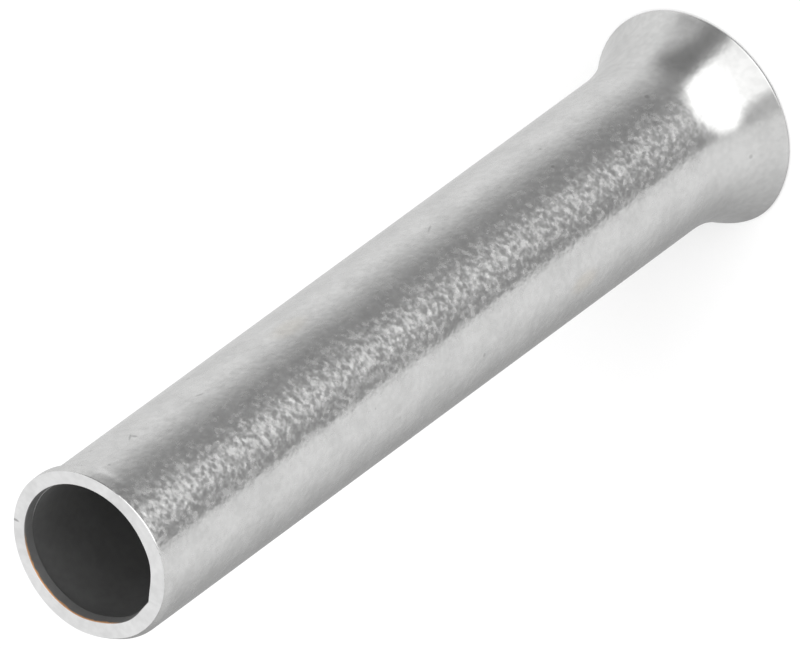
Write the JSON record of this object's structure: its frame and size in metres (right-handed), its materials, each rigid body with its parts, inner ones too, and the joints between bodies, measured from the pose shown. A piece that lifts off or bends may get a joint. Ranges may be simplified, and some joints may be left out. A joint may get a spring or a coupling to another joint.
{
  "type": "wire ferrule",
  "caption": "Bare wire end ferrule: a thin metal tube with a straight barrel and a trumpet-flared mouth, crimped onto stranded wire to hold its strands together.",
  "frame": {"origin": "centre of the flared mouth's rim, on the plane that the ferrule stands on", "axes": "+Z along the bore, from the flared mouth to the cut end; +X towards the side on which the cut end's lip stands out most"},
  "size_m": [0.0042, 0.0042, 0.018],
  "materials": {
    "tin_plating": "satin tin plating on copper"
  },
  "bodies": {
    "root": {"sleeve": "tin_plating"}
  },
  "joints": []
}
